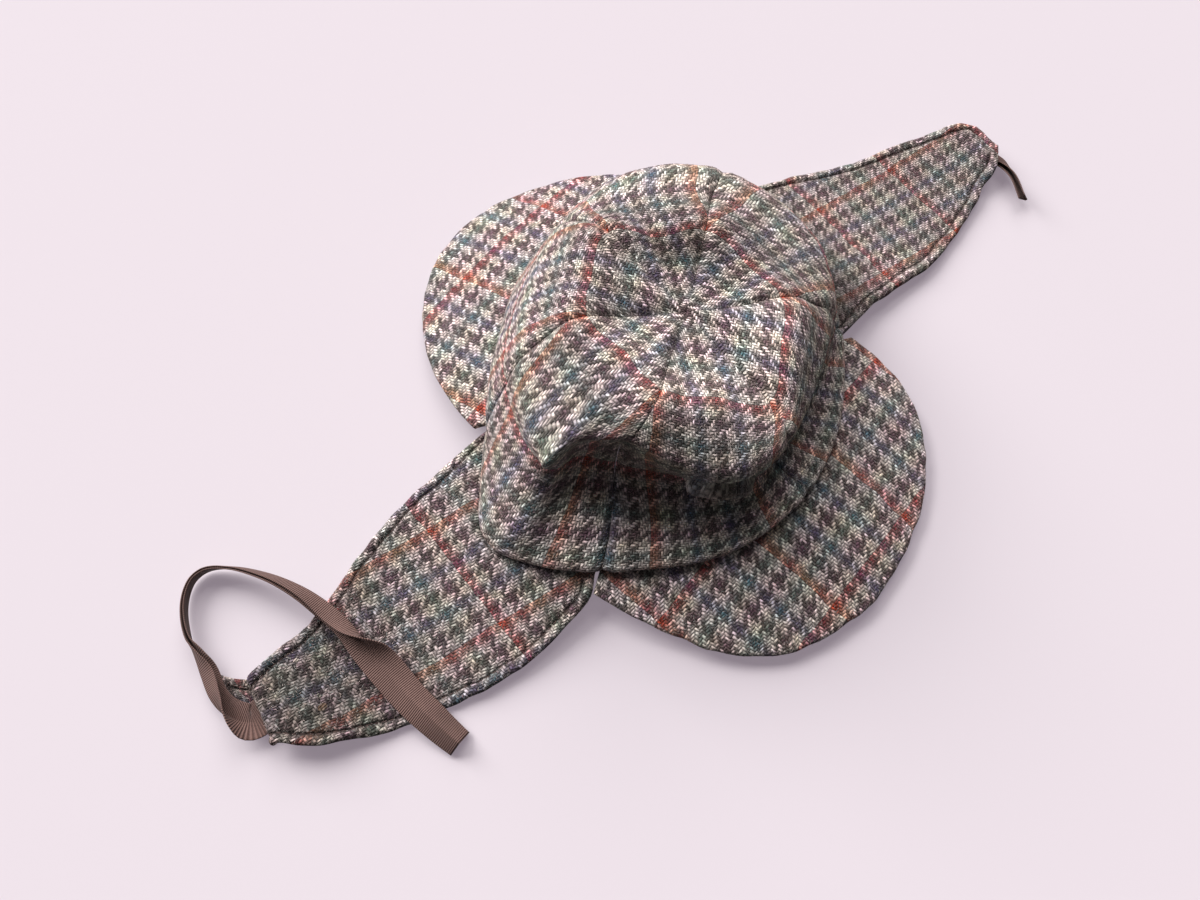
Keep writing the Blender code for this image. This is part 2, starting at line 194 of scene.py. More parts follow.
def makeTweed():
    # woollen tweed, a two-and-two twill of hairy yarn: dull all over, with painted shade between the
    # threads, and every check drifts in colour because the wools were blended before spinning
    look = tweedLook
    material, tree, shader = startMaterial("woollen houndstooth tweed")
    uv = addNode(tree, "ShaderNodeUVMap", uv_map="cloth")
    moved = uv
    for scale, reach in ((120.0, 0.0012), (900.0, 0.0006)):  # threads wander, and their edges are ragged
        wander = addNode(tree, "ShaderNodeTexNoise", {"Vector": uv, "Scale": scale, "Detail": 1.0}, "Color")
        centred = addNode(tree, "ShaderNodeVectorMath", {0: wander, 1: (0.5, 0.5, 0.5)},
                          operation="SUBTRACT")
        moved = addNode(tree, "ShaderNodeVectorMath", {0: centred, 1: (reach, reach, 0), 2: moved},
                        operation="MULTIPLY_ADD")
    pitch = look["thread"] * mm
    place = addNode(tree, "ShaderNodeVectorMath", {0: moved, 1: (pitch, pitch, 1)}, operation="DIVIDE")
    index = addNode(tree, "ShaderNodeVectorMath", {0: place}, operation="FLOOR")
    inside = addNode(tree, "ShaderNodeVectorMath", {0: place}, operation="FRACTION")
    # twill: two over, two under, one step along at each thread
    diagonal = addNode(tree, "ShaderNodeVectorMath", {0: index, 1: (1, 1, 0)}, "Value",
                       operation="DOT_PRODUCT")
    step = addNode(tree, "ShaderNodeMath", {0: diagonal, 1: 4.0}, operation="FLOORED_MODULO")
    warpOver = addNode(tree, "ShaderNodeMath", {0: step, 1: 1.5}, operation="LESS_THAN")

    # crisp bands are the threads' own colours, soft bands are the hue that the eye blends
    blocks = ("over", "plain", "other", "plain", "other", "plain")
    repeat = 8 * len(blocks)  # threads, four dark and four light in each block
    bands = {}
    for kind, source, shift in (("crisp", index, 2.5), ("soft", place, 2.0)):
        moving = addNode(tree, "ShaderNodeVectorMath", {0: source, 1: (shift, shift, 0)}, operation="ADD")
        wrapped = addNode(tree, "ShaderNodeVectorMath", {0: moving, 1: (repeat,) * 3, 2: (0, 0, 0)},
                          operation="WRAP")
        share = addNode(tree, "ShaderNodeVectorMath", {0: wrapped, "Scale": 1 / repeat}, operation="SCALE")
        split = addNode(tree, "ShaderNodeSeparateXYZ", {0: share}).node
        for way, socket in (("warp", split.outputs["X"]), ("weft", split.outputs["Y"])):
            node = addNode(tree, "ShaderNodeValToRGB", {0: socket}).node
            node.color_ramp.interpolation = "CONSTANT" if kind == "crisp" else "LINEAR"
            stops = []
            for block, dark in enumerate(blocks):
                start = block * 8 + (0 if kind == "crisp" else 2)
                stops += [(start / repeat, look[way][dark]), ((start + 4) / repeat, look[way]["light"])]
            elements = node.color_ramp.elements
            while len(elements) < len(stops):
                elements.new(0.5)
            for element, (position, colour) in zip(elements, stops):
                element.position = position
                element.color = hexLinear(colour)
            bands[kind, way] = node.outputs[0]
    seen = addNode(tree, "ShaderNodeMix", {
        0: warpOver, 6: bands["crisp", "weft"], 7: bands["crisp", "warp"]}, 2, data_type="RGBA")
    hue = addNode(tree, "ShaderNodeMix", {
        0: 0.5, 6: bands["soft", "weft"], 7: bands["soft", "warp"]}, 2, data_type="RGBA")
    light = addNode(tree, "ShaderNodeMath", {
        0: addNode(tree, "ShaderNodeRGBToBW", {0: seen}),
        1: addNode(tree, "ShaderNodeRGBToBW", {0: hue})}, operation="DIVIDE")
    blended = addNode(tree, "ShaderNodeVectorMath", {0: hue, "Scale": light}, operation="SCALE")
    wool = addNode(tree, "ShaderNodeMix", {0: look["sharedHue"], 6: seen, 7: blended}, 2, data_type="RGBA")
    patch = addNode(tree, "ShaderNodeTexNoise", {"Vector": uv, "Scale": 90.0, "Detail": 2.0}, "Color")
    tinted = addNode(tree, "ShaderNodeMix", {0: look["patchy"], 6: wool, 7: patch}, 2,
                     data_type="RGBA", blend_type="OVERLAY")

    # the thread on top at this place: across it, along it, and how far its float has run
    split, run = (addNode(tree, "ShaderNodeSeparateXYZ", {0: v}).node.outputs for v in (inside, index))
    asWarp = addNode(tree, "ShaderNodeCombineXYZ", {0: split["X"], 1: split["Y"], 2: step})
    weftStep = addNode(tree, "ShaderNodeMath", {0: step, 1: 2.0}, operation="SUBTRACT")
    asWeft = addNode(tree, "ShaderNodeCombineXYZ", {0: split["Y"], 1: split["X"], 2: weftStep})
    top = addNode(tree, "ShaderNodeMix", {0: warpOver, 4: asWeft, 5: asWarp}, 1, data_type="VECTOR")
    along = addNode(tree, "ShaderNodeVectorMath", {0: top, 1: (0, 0.5, 0.5)}, "Value",
                    operation="DOT_PRODUCT")
    across = addNode(tree, "ShaderNodeSeparateXYZ", {0: top})
    arch, curve = (addNode(tree, "ShaderNodeMath", {
        0: addNode(tree, "ShaderNodeMath", {0: way, 1: math.pi}, operation="MULTIPLY")}, operation="SINE")
        for way in (along, across))
    rounded = addNode(tree, "ShaderNodeMath", {0: curve, 1: 0.6}, operation="POWER")
    arched = addNode(tree, "ShaderNodeMath", {0: arch, 1: 0.7, 2: 0.3}, operation="MULTIPLY_ADD")
    height = addNode(tree, "ShaderNodeMath", {0: rounded, 1: arched}, operation="MULTIPLY")

    # each float has its own lightness, with flecks along it
    weftLane = addNode(tree, "ShaderNodeMath", {0: run["Y"], 1: 0.5}, operation="ADD")
    lane = addNode(tree, "ShaderNodeMix", {0: warpOver, 2: weftLane, 3: run["X"]})
    rank = addNode(tree, "ShaderNodeMath", {
        0: addNode(tree, "ShaderNodeMath", {0: diagonal, 1: 4.0}, operation="DIVIDE")}, operation="FLOOR")
    cell = addNode(tree, "ShaderNodeCombineXYZ", {0: lane, 1: rank})
    shade = addNode(tree, "ShaderNodeTexWhiteNoise", {0: cell}, noise_dimensions="2D")
    fleck = addNode(tree, "ShaderNodeTexNoise", {
        "Vector": uv, "Scale": 700.0, "Detail": 3.0, "Roughness": 0.7})
    # each piece's painted shade (+) and painted light (-)
    paintedShade = addNode(tree, "ShaderNodeAttribute", out="Fac", attribute_name="paintedShade")
    tone = addNode(tree, "ShaderNodeMath", {0: shade, 1: look["uneven"], 2: 1 - look["uneven"] / 2},
                   operation="MULTIPLY_ADD")
    # the thread height paints shade into the gaps between the threads
    for source, gain, base in ((fleck, 1.8, 0.1), (height, 1.05, 0.2), (paintedShade, -1.0, 1.0)):
        part = addNode(tree, "ShaderNodeMath", {0: source, 1: gain, 2: base}, operation="MULTIPLY_ADD")
        tone = addNode(tree, "ShaderNodeMath", {0: tone, 1: part}, operation="MULTIPLY")
    shaded = addNode(tree, "ShaderNodeVectorMath", {0: tinted, "Scale": tone}, operation="SCALE")
    fibres = addNode(tree, "ShaderNodeTexNoise", {"Vector": uv, "Scale": 2600.0, "Detail": 2.0})
    relief = addNode(tree, "ShaderNodeMath", {0: fibres, 1: 0.6, 2: height}, operation="MULTIPLY_ADD")
    bump = addNode(tree, "ShaderNodeBump", {
        "Height": relief, "Distance": look["relief"] * mm, "Strength": 1.0})
    setInputs(tree, shader, {
        "Base Color": shaded, "Normal": bump, "Roughness": 0.95, "Specular IOR Level": 0.25,
        "Sheen Weight": 0.3, "Sheen Roughness": 0.5, "Sheen Tint": hexLinear("#e0d2c4")})
    return material


ribbonLook = {
    "colour": "#7d6259",
    "shade": "#3f2d28",
    "rib": 0.9,  # mm from rib to rib, a little coarser than real so that it shows
}


def makeGrosgrain():
    # grosgrain of matt rayon: a fat weft under a fine warp gives straight ribs across the ribbon
    look = ribbonLook
    material, tree, shader = startMaterial("matt rayon grosgrain")
    uv = addNode(tree, "ShaderNodeUVMap", uv_map="cloth")
    turns = addNode(tree, "ShaderNodeVectorMath", {0: uv, "Scale": 2 * math.pi / (look["rib"] * mm)},
                    operation="SCALE")
    along = addNode(tree, "ShaderNodeSeparateXYZ", {0: turns})
    ribs = addNode(tree, "ShaderNodeMath", {0: along}, operation="SINE")
    rib = addNode(tree, "ShaderNodeMath", {0: ribs, 1: 0.5, 2: 0.5}, operation="MULTIPLY_ADD")
    fine = addNode(tree, "ShaderNodeTexNoise", {"Vector": uv, "Scale": 1400.0, "Detail": 3.0})
    broad = addNode(tree, "ShaderNodeTexNoise", {"Vector": uv, "Scale": 60.0, "Detail": 2.0})
    cloudy = addNode(tree, "ShaderNodeMath", {0: fine, 1: broad}, operation="MULTIPLY")
    # painted shade in the valleys between the ribs, over the cloudy tone
    paintedRibShade = addNode(tree, "ShaderNodeMath", {0: rib, 1: 0.75}, operation="MULTIPLY")
    share = addNode(tree, "ShaderNodeMath", {0: cloudy, 1: 1.2, 2: paintedRibShade}, operation="MULTIPLY_ADD")
    colour = addNode(tree, "ShaderNodeMix", {
        0: share, 6: hexLinear(look["shade"]), 7: hexLinear(look["colour"])}, 2,
        data_type="RGBA")
    relief = addNode(tree, "ShaderNodeMath", {0: fine, 1: 0.4, 2: rib}, operation="MULTIPLY_ADD")
    bump = addNode(tree, "ShaderNodeBump", {"Height": relief, "Distance": 0.35 * mm, "Strength": 1.0})
    setInputs(tree, shader, {
        "Base Color": colour, "Normal": bump, "Roughness": 0.7, "Specular IOR Level": 0.3,
        "Sheen Weight": 0.15})
    return material


yarnLook = {
    "loose wool fibres": ("#8d7f7c", "#cbbdb2", "#8f9c98", "#d9cdc2", "#a48e92"),
    "spun polyester thread": ("#4a3c3a", "#6a5a54"),
}


def makeYarn(name, patches):
    # loose wool and thread: matt, and the shade changes from place to place, patches to a metre
    material, tree, shader = startMaterial(name)
    place = addNode(tree, "ShaderNodeTexCoord", out="Object")
    mixed = addNode(tree, "ShaderNodeTexNoise", {"Vector": place, "Scale": patches, "Detail": 1.0})
    colours = yarnLook[name]
    node = addNode(tree, "ShaderNodeValToRGB", {0: mixed}).node
    elements = node.color_ramp.elements
    while len(elements) < len(colours):
        elements.new(0.5)
    for i, (element, colour) in enumerate(zip(elements, colours)):
        element.position = 0.35 + 0.3 * i / (len(colours) - 1)
        element.color = hexLinear(colour)
    setInputs(tree, shader, {"Base Color": node.outputs[0], "Roughness": 0.9, "Specular IOR Level": 0.25})
    return material


fuzzWool = makeYarn("loose wool fibres", 260.0)
stitchThread = makeYarn("spun polyester thread", 150.0)
tweed = makeTweed()
grosgrain = makeGrosgrain()
print("materials made")


# tables and smooth curves through them
def readRows(columns, rows):
    return [dict(zip(columns, row)) for row in rows]


def column(rows, name):
    return np.array([row[name] for row in rows], float)


def smoothAlong(knots, values, at):
    knots, values = np.asarray(knots, float), np.asarray(values, float)
    at = np.clip(at, knots[0], knots[-1])
    shape = (-1,) + (1,) * (values.ndim - 1)
    slopes = np.empty_like(values)
    slopes[1:-1] = (values[2:] - values[:-2]) / (knots[2:] - knots[:-2]).reshape(shape)
    slopes[0] = (values[1] - values[0]) / (knots[1] - knots[0])
    slopes[-1] = (values[-1] - values[-2]) / (knots[-1] - knots[-2])
    k = np.clip(np.searchsorted(knots, at, side="right") - 1, 0, len(knots) - 2)
    span = knots[k + 1] - knots[k]
    t = ((at - knots[k]) / span).reshape(shape)
    span = span.reshape(shape)
    t2, t3 = t * t, t * t * t
    return (values[k] * (2 * t3 - 3 * t2 + 1) + slopes[k] * span * (t3 - 2 * t2 + t)
            + values[k + 1] * (3 * t2 - 2 * t3) + slopes[k + 1] * span * (t3 - t2))


def smoothRound(rows, name, turns):
    knots, values = column(rows, "turn"), column(rows, name)
    knots = np.concatenate([knots[-2:] - 360, knots, knots[:3] + 360])
    values = np.concatenate([values[-2:], values, values[:3]])
    return smoothAlong(knots, values, (np.asarray(turns, float) - knots[2]) % 360 + knots[2])


def ease(low, high, value):
    t = np.clip((value - low) / (high - low), 0, 1)
    return t * t * (3 - 2 * t)


# head line, where crown, peaks and flaps are sewn together: degrees from +X, distance and height in mm
ringRows = readRows(("turn", "radius", "height"), (
    (-180, 102, 9.0),
    (-165, 96, 11.0),
    (-149, 88, 14.0),
    (-133, 84, 16.0),
    (-106, 84, 18.0),
    (-73, 85, 18.0),
    (-42, 89, 15.0),
    (-24, 96, 12.0),
    (0, 105, 9.5),
    (27, 101, 12.0),
    (54, 94, 16.0),
    (80, 90, 18.0),
    (100, 82, 18.0),
    (125, 73, 17.0),
    (149, 77, 14.0),
    (165, 88, 11.0),
))


def ringPoints(turns, inward=0.0, above=0.0):
    radius = smoothRound(ringRows, "radius", turns) - inward
    return polar(radius, turns, smoothRound(ringRows, "height", turns) + above)


def gridFaces(index):
    corners = (index[1:, :-1], index[1:, 1:], index[:-1, 1:], index[:-1, :-1])
    return np.stack(corners, -1).reshape(-1, 4).tolist()


# closed sheet from two faces; the named sides are joined, the others get a narrow wall;
# uv is in mm of cloth, and the last argument is painted shade (+) or painted light (-) on the tweed
def clothMesh(name, top, bottom, uv, material, joined=(), paintedShade=0.0):
    rows, cols = top.shape[:2]
    upper = np.arange(rows * cols).reshape(rows, cols)
    lower = upper + rows * cols
    sides = {"firstRow": (np.s_[0], 1), "lastRow": (np.s_[-1], -1),
             "firstColumn": (np.s_[:, 0], -1), "lastColumn": (np.s_[:, -1], 1)}
    for side in joined:
        at = sides[side][0]
        lower[at] = upper[at]
    faces = gridFaces(upper) + [face[::-1] for face in gridFaces(lower)]
    for at, way in sides.values():
        over, under = upper[at], lower[at]
        wall = np.stack([over[:-1], over[1:], under[1:], under[:-1]], -1).tolist()
        corners = [[i for k, i in enumerate(face) if i not in face[:k]] for face in wall]
        faces += [face[::way] for face in corners if len(face) > 2]
    points = np.concatenate([top.reshape(-1, 3), bottom.reshape(-1, 3)]) * mm
    points[:, 2] = np.maximum(points[:, 2], 0.1 * mm)  # cloth flattens where it lies on the board
    flat = np.concatenate([uv.reshape(-1, 2), uv.reshape(-1, 2)]) * mm
    used = np.unique([i for face in faces for i in face])
    place = np.full(len(points), -1)
    place[used] = np.arange(len(used))
    faces = [place[face].tolist() for face in faces]
    mesh = bpy.data.meshes.new(name)
    mesh.from_pydata(points[used].tolist(), [], faces)
    layer = mesh.uv_layers.new(name="cloth")
    corner = np.empty(len(mesh.loops), np.int32)
    mesh.loops.foreach_get("vertex_index", corner)
    layer.data.foreach_set("uv", flat[used][corner].ravel().astype(np.float32))
    tones = np.tile(np.broadcast_to(paintedShade, top.shape[:2]).ravel(), 2)[used]
    mesh.attributes.new("paintedShade", "FLOAT", "POINT").data.foreach_set("value", tones.astype(np.float32))
    mesh.shade_smooth()
    mesh.materials.append(material)
    mesh.update()
    return addObject(name, mesh)


def gridNormals(points, roundColumns=False):
    down = np.empty_like(points)
    down[1:-1] = points[2:] - points[:-2]
    down[0], down[-1] = points[1] - points[0], points[-1] - points[-2]
    side = np.empty_like(points)
    if roundColumns:
        side = np.roll(points, -1, 1) - np.roll(points, 1, 1)
    else:
        side[:, 1:-1] = points[:, 2:] - points[:, :-2]
        side[:, 0], side[:, -1] = points[:, 1] - points[:, 0], points[:, -1] - points[:, -2]
    return unit(np.cross(down, side))


def noiseField(points, scale, seed):
    flat = points.reshape(-1, 3)
    shift = Vector((seed * 7.3, seed * 3.1, seed * 5.7))
    values = [noise.noise(Vector(p) / scale + shift) for p in flat.tolist()]
    return np.array(values).reshape(points.shape[:-1])


# loose fibres and stitches are scattered by node trees, then turned into plain meshes
def startTree(name, sizes, **others):
    tree = bpy.data.node_groups.new(name, "GeometryNodeTree")
    tree.interface.new_socket("Geometry", in_out="INPUT", socket_type="NodeSocketGeometry")
    for size, kind in {**dict.fromkeys(sizes, "Float"), **others, "Material": "Material"}.items():
        tree.interface.new_socket(size, in_out="INPUT", socket_type="NodeSocket" + kind)
    tree.interface.new_socket("Geometry", in_out="OUTPUT", socket_type="NodeSocketGeometry")
    return tree, addNode(tree, "NodeGroupInput").node.outputs


def endTree(tree, instances):
    real = addNode(tree, "GeometryNodeRealizeInstances", {0: instances})
    finished = addNode(tree, "GeometryNodeSetMaterial", {0: real})
    tree.links.new(tree.nodes["Group Input"].outputs["Material"], finished.node.inputs["Material"])
    output = tree.nodes.new("NodeGroupOutput")
    tree.links.new(finished, output.inputs[0])


def bakeTree(name, tree, points, edges, faces, sizes):
    mesh = bpy.data.meshes.new(name + "Base")
    mesh.from_pydata((points * mm).tolist(), edges, faces)
    base = addObject(name + "Base", mesh)
    modifier = base.modifiers.new("nodes", "NODES")
    modifier.node_group = tree
    for item in tree.interface.items_tree:
        if item.in_out == "INPUT" and item.name in sizes:
            modifier[item.identifier] = sizes[item.name]
    evaluated = base.evaluated_get(bpy.context.evaluated_depsgraph_get())
    baked = bpy.data.meshes.new_from_object(evaluated)
    bpy.data.objects.remove(base, do_unlink=True)
    places = np.empty(len(baked.vertices) * 3, np.float32)
    baked.vertices.foreach_get("co", places)
    places[2::3] = np.maximum(places[2::3], 0.05 * mm)  # nothing pokes through the board
    baked.vertices.foreach_set("co", places)
    piece = addObject(name, baked)
    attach(piece, "root")


fuzzShape = {
    "density": 0.4,  # fibres to a square millimetre
    "thick": 0.1,  # mm across, coarser than real wool so that it shows
    "short": 0.7,  # mm, half length of the shortest and of the longest fibre
    "long": 1.5,
    "lift": 14.0,  # degrees, steepest rise from the cloth
}
fuzzTree, sockets = startTree("looseFibres", fuzzShape, seed="Int")
scatter = addNode(fuzzTree, "GeometryNodeDistributePointsOnFaces", {
    "Mesh": sockets["Geometry"], "Density": sockets["density"], "Seed": sockets["seed"]}).node.outputs
flattest = addNode(fuzzTree, "ShaderNodeMath", {0: math.pi / 2, 1: sockets["lift"]}, operation="SUBTRACT")
turn = addNode(fuzzTree, "FunctionNodeRandomValue", {
    "Min": addNode(fuzzTree, "ShaderNodeCombineXYZ", {0: flattest}),
    "Max": (math.pi / 2, 0, 2 * math.pi), "Seed": sockets["seed"]}, data_type="FLOAT_VECTOR")
lean = addNode(fuzzTree, "FunctionNodeRotateRotation", {
    0: scatter["Rotation"], 1: addNode(fuzzTree, "FunctionNodeEulerToRotation", {0: turn})},
    rotation_space="LOCAL")
thin = {0: sockets["thick"], 1: sockets["thick"]}
size = addNode(fuzzTree, "FunctionNodeRandomValue", {
    "Min": addNode(fuzzTree, "ShaderNodeCombineXYZ", {**thin, 2: sockets["short"]}),
    "Max": addNode(fuzzTree, "ShaderNodeCombineXYZ", {**thin, 2: sockets["long"]}),
    "Seed": sockets["seed"]}, data_type="FLOAT_VECTOR")
spindle = addNode(fuzzTree, "GeometryNodeMeshUVSphere", {"Segments": 3, "Rings": 2, "Radius": 1.0})
endTree(fuzzTree, addNode(fuzzTree, "GeometryNodeInstanceOnPoints", {
    "Points": scatter["Points"], "Instance": spindle, "Rotation": lean, "Scale": size}))

stitchShape = {
    "spacing": 3.4,  # mm from stitch to stitch
    "length": 2.5,
    "thick": 0.55,
}
stitchTree, sockets = startTree("topstitch", stitchShape)
seamLine = addNode(stitchTree, "GeometryNodeMeshToCurve", {0: sockets["Geometry"]})
beads = addNode(stitchTree, "GeometryNodeResampleCurve", {"Curve": seamLine, "Length": sockets["spacing"]},
                mode="LENGTH")
aim = addNode(stitchTree, "FunctionNodeAlignRotationToVector", {
    "Vector": addNode(stitchTree, "GeometryNodeInputTangent")}, axis="Z")
grain = addNode(stitchTree, "GeometryNodeMeshUVSphere", {"Segments": 6, "Rings": 4, "Radius": 0.5})
endTree(stitchTree, addNode(stitchTree, "GeometryNodeInstanceOnPoints", {
    "Points": beads, "Instance": grain, "Rotation": aim,
    "Scale": addNode(stitchTree, "ShaderNodeCombineXYZ", {
        0: sockets["thick"], 1: sockets["thick"], 2: sockets["length"]})}))


def addFuzz(name, grid, seed):
    faces = gridFaces(np.arange(grid[..., 0].size).reshape(grid.shape[:2]))
    sizes = {key: fuzzShape[key] * mm for key in ("thick", "short", "long")}
    sizes.update(density=fuzzShape["density"] / mm ** 2, lift=math.radians(fuzzShape["lift"]), seed=seed,
                 Material=fuzzWool)
    bakeTree(name, fuzzTree, grid.reshape(-1, 3), [], faces, sizes)


def addStitches(name, line):
    sizes = {key: value * mm for key, value in stitchShape.items()}
    edges = [(i, i + 1) for i in range(len(line) - 1)]
    bakeTree(name, stitchTree, line, edges, [], dict(sizes, Material=stitchThread))


# crown
crownShape = {
    "cloth": 2.0,  # mm, tweed and lining together
    "gore": 145.0,  # mm of cloth from the centre to the head line
    "tip": 0.35,  # mm left open at the very centre
    "foot": 5.0,  # mm, upright part just above the head line
    "footEase": 26.0,  # mm above the head line, from where the wall is thickened sideways
    "centre": (23.0, 5.0, 60.0),
    "seamDepth": 0.9,  # mm, groove along each seam and its half width
    "seamWidth": 1.6,
    "seamRise": 0.35,  # pressed seam allowance under the cloth
    "seamGap": 0.06,  # mm that each gore keeps clear of the seam
    "perPanel": 56,  # cells across a gore, and mm from row to row
    "rowStep": 1.35,
    "undulation": 0.55,  # mm, small waves in the soft cloth
    "orangeAt": 27,  # mm, an orange line beside each gore's middle, a red one below the centre
    "redAt": 45,
}
# sections of the crown: turns by which foot, folds and crest are pushed aside, then radii and heights
crownColumns = ("turn", "footTurn", "foldTurn", "crestTurn", "wallR", "wallZ", "waistR", "waistZ",
                "tuckR", "tuckZ", "lipR", "lipZ", "crestR", "crestZ", "dentR", "dentZ")
crownRows = readRows(crownColumns, (
    (-180, 0, 0, 2, 91, 28, 77, 47, 78, 59, 66, 72, 44, 80, 22, 69),
    (-173, 0, -1, 2, 90, 28, 74, 44, 81, 58, 71, 71, 46, 80, 22, 69),
    (-165, 0, -6, 2, 82, 27, 63, 40, 65, 60, 67, 71, 48, 80, 23, 70),
    (-150, 2, -7, 1, 73, 27, 56, 36, 56, 60, 61, 72, 51, 80, 25, 67),
    (-135, 5, 0, 0, 71, 26, 55, 35, 62, 57, 65, 68, 51, 75, 25, 64),
    (-120, 6, 3, 0, 72, 26, 59, 34, 71, 52, 70, 63, 50, 69, 25, 62),
    (-105, 8, 4, -1, 75, 25, 62, 32, 71, 47, 70, 57, 54, 60, 27, 59),
    (-90, 11, 5, -1, 72, 23, 60, 28, 67, 39, 67, 49, 58, 52, 29, 56),
    (-60, 9, 4, -6, 73, 22, 62, 29, 67, 39, 62, 49, 48, 59, 24, 57),
    (-30, 7, 3, -2, 88, 21, 83, 29, 76, 40, 66, 49, 47, 58, 24, 57),
    (0, 0, 0, -5, 105, 22, 97, 35, 79, 46, 63, 54, 40, 60, 21, 57),
    (30, -1, 0, 3, 103, 25, 99, 42, 87, 54, 67, 62, 42, 67, 23, 60),
    (60, -4, -1, 9, 97, 30, 90, 50, 78, 62, 62, 68, 37, 71, 21, 63),
    (90, -7, -2, 4, 85, 31, 78, 47, 72, 60, 65, 69, 50, 75, 27, 68),
    (120, 0, 0, 6, 76, 30, 71, 46, 66, 60, 60, 72, 46, 79, 23, 70.5),
    (150, 3, 1, 3, 79, 30, 73, 48, 69, 61, 63, 72, 49, 81, 25, 69),
))
# cloth from the centre to each level, and how far the level follows the centre and those turns
levelRows = readRows(("name", "cloth", "shift", "footShare", "foldShare", "crestShare"), (
    ("wall", 122.0, 0.18, 0.7, 0.2, 0.0),
    ("waist", 99.0, 0.41, 0.0, 1.0, 0.0),
    ("tuck", 83.0, 0.55, 0.0, 0.9, 0.0),
    ("lip", 72.0, 0.69, 0.0, 0.4, 0.5),
    ("crest", 48.0, 1.0, 0.0, 0.0, 1.0),
    ("dent", 24.0, 1.0, 0.0, 0.0, 0.6),
))
# small folds: where each starts and ends as turn and cloth, its height and its half width in mm
foldRows = readRows(("turnA", "clothA", "turnB", "clothB", "height", "width"), (
    (-122, 82.3, -110, 82.3, -4.0, 1.9),
    (-127, 87.3, -110, 86.5, 6.2, 2.4),
))
# painted shade (+) and painted light (-): middle, reach in degrees and in mm of cloth, strength
paintedShadeRows = readRows(("turn", "cloth", "turnReach", "clothReach", "strength"), (
    (-140, 96, 26, 13, 0.42),
    (-147, 120, 22, 11, -0.3),
    (105, 35, 25, 14, 0.2),
    (60, 58, 25, 11, 0.14),
    (10, 58, 20, 11, 0.14),
    (-15, 90, 18, 12, -0.14),
    (-72, 28, 22, 13, -0.13),
    (-115, 84.6, 6.5, 2.4, 0.95),
    (-120, 89.6, 12, 1.4, -0.6),
))
# one seam is pulled almost flat where the front lobe is stretched
flatSeam = {"turn": -150, "cloth": 72, "turnReach": 5, "clothReach": 24, "strength": 0.85}
crownPanels = (
    ("crownPanelRight", "crown_panel_right"),
    ("crownPanelFrontRight", "crown_panel_front_right"),
    ("crownPanelFrontLeft", "crown_panel_front_left"),
    ("crownPanelLeft", "crown_panel_left"),
    ("crownPanelBackLeft", "crown_panel_back_left"),
    ("crownPanelBackRight", "crown_panel_back_right"),
)
goreWidths = ((0, 0.3), (48, 27.7), (72, 37.0), (99, 43.0), (120, 46.0), (145, 46.7))  # cloth, half width


def goreHalf(cloth):
    return np.interp(cloth, *np.transpose(goreWidths))


# 1 in the middle of a place on the crown, fading out over its reach
def spot(place, turns, cloth):
    aside = ((turns - place["turn"] + 180) % 360 - 180) / place["turnReach"]
    below = (cloth - place["cloth"]) / place["clothReach"]
    return np.exp(-aside[None, :] ** 2 - below[:, None] ** 2)


def crownSurface(turns, cloth):
    footTurn = smoothRound(crownRows, "footTurn", turns)
    foot = ringPoints(turns + footTurn, 0.0, 0.3)
    knots, layers = [0.0], [np.broadcast_to(crownShape["centre"], (len(turns), 3))]
    for level in reversed(levelRows):
        r = smoothRound(crownRows, level["name"] + "R", turns)
        z = smoothRound(crownRows, level["name"] + "Z", turns)
        shifted = [smoothRound(crownRows, name + "Turn", turns) * level[name + "Share"]
                   for name in ("foot", "fold", "crest")]
        knots.append(level["cloth"])
        middle = np.array((*crownShape["centre"][:2], 0)) * level["shift"]
        layers.append(polar(r, turns + sum(shifted), z) + middle)
    knots += [crownShape["gore"] - crownShape["foot"], crownShape["gore"]]
    layers += [foot + (0, 0, crownShape["foot"]), foot]
    return smoothAlong(knots, np.array(layers), cloth)


# six gores of 60 degrees, the first from turn -210 to -150
shape = crownShape
perPanel = shape["perPanel"]
turns = np.linspace(-210, 150, perPanel * 6 + 1)[:-1]
rowCount = round(shape["gore"] / shape["rowStep"])
cloth = np.linspace(shape["tip"], shape["gore"], rowCount)
crownBase = crownSurface(turns, cloth)
# the cloth is thickened along its normal, but level near the foot and upright at the centre
crownNormal = gridNormals(crownBase, True)
side = np.roll(crownBase, -1, 1) - np.roll(crownBase, 1, 1)
level = unit(np.stack([side[..., 1], -side[..., 0], np.zeros(side.shape[:2])], -1))
footStart, footEnd = (shape["gore"] - shape[key] for key in ("footEase", "foot"))
footShare = ease(footStart, footEnd, cloth)[:, None, None]
crownNormal = crownNormal * (1 - footShare) + level * footShare
tipShare = ease(0, 30, cloth)[:, None, None]
crownNormal = unit(crownNormal * tipShare + np.array([0, 0, 1.0]) * (1 - tipShare))

# a groove along each seam with the pressed allowance beside it, both fading towards the centre
halfWidth = goreHalf(cloth)[:, None]
fromSeam = halfWidth * (1 - np.abs(((turns[None, :] + 210) % 60 - 30) / 30))
lift = -shape["seamDepth"] * np.exp(-(fromSeam / shape["seamWidth"]) ** 2)
lift += shape["seamRise"] * ease(1, 4, fromSeam) * (1 - ease(7, 10, fromSeam))
lift *= ease(3, 22, cloth)[:, None]
lift *= 1 - flatSeam["strength"] * spot(flatSeam, turns, cloth)
for fold in foldRows:
    scale = goreHalf((fold["clothA"] + fold["clothB"]) / 2) / 30  # mm of cloth to a degree
    ax = ((turns[None, :] - fold["turnA"] + 180) % 360 - 180) * scale
    ay = cloth[:, None] - fold["clothA"]
    bx = ((fold["turnB"] - fold["turnA"] + 180) % 360 - 180) * scale
    by = fold["clothB"] - fold["clothA"]
    along = np.clip((ax * bx + ay * by) / (bx * bx + by * by), 0, 1)
    away = np.hypot(ax - along * bx, ay - along * by)
    lift += fold["height"] * np.exp(-(away / fold["width"]) ** 2)
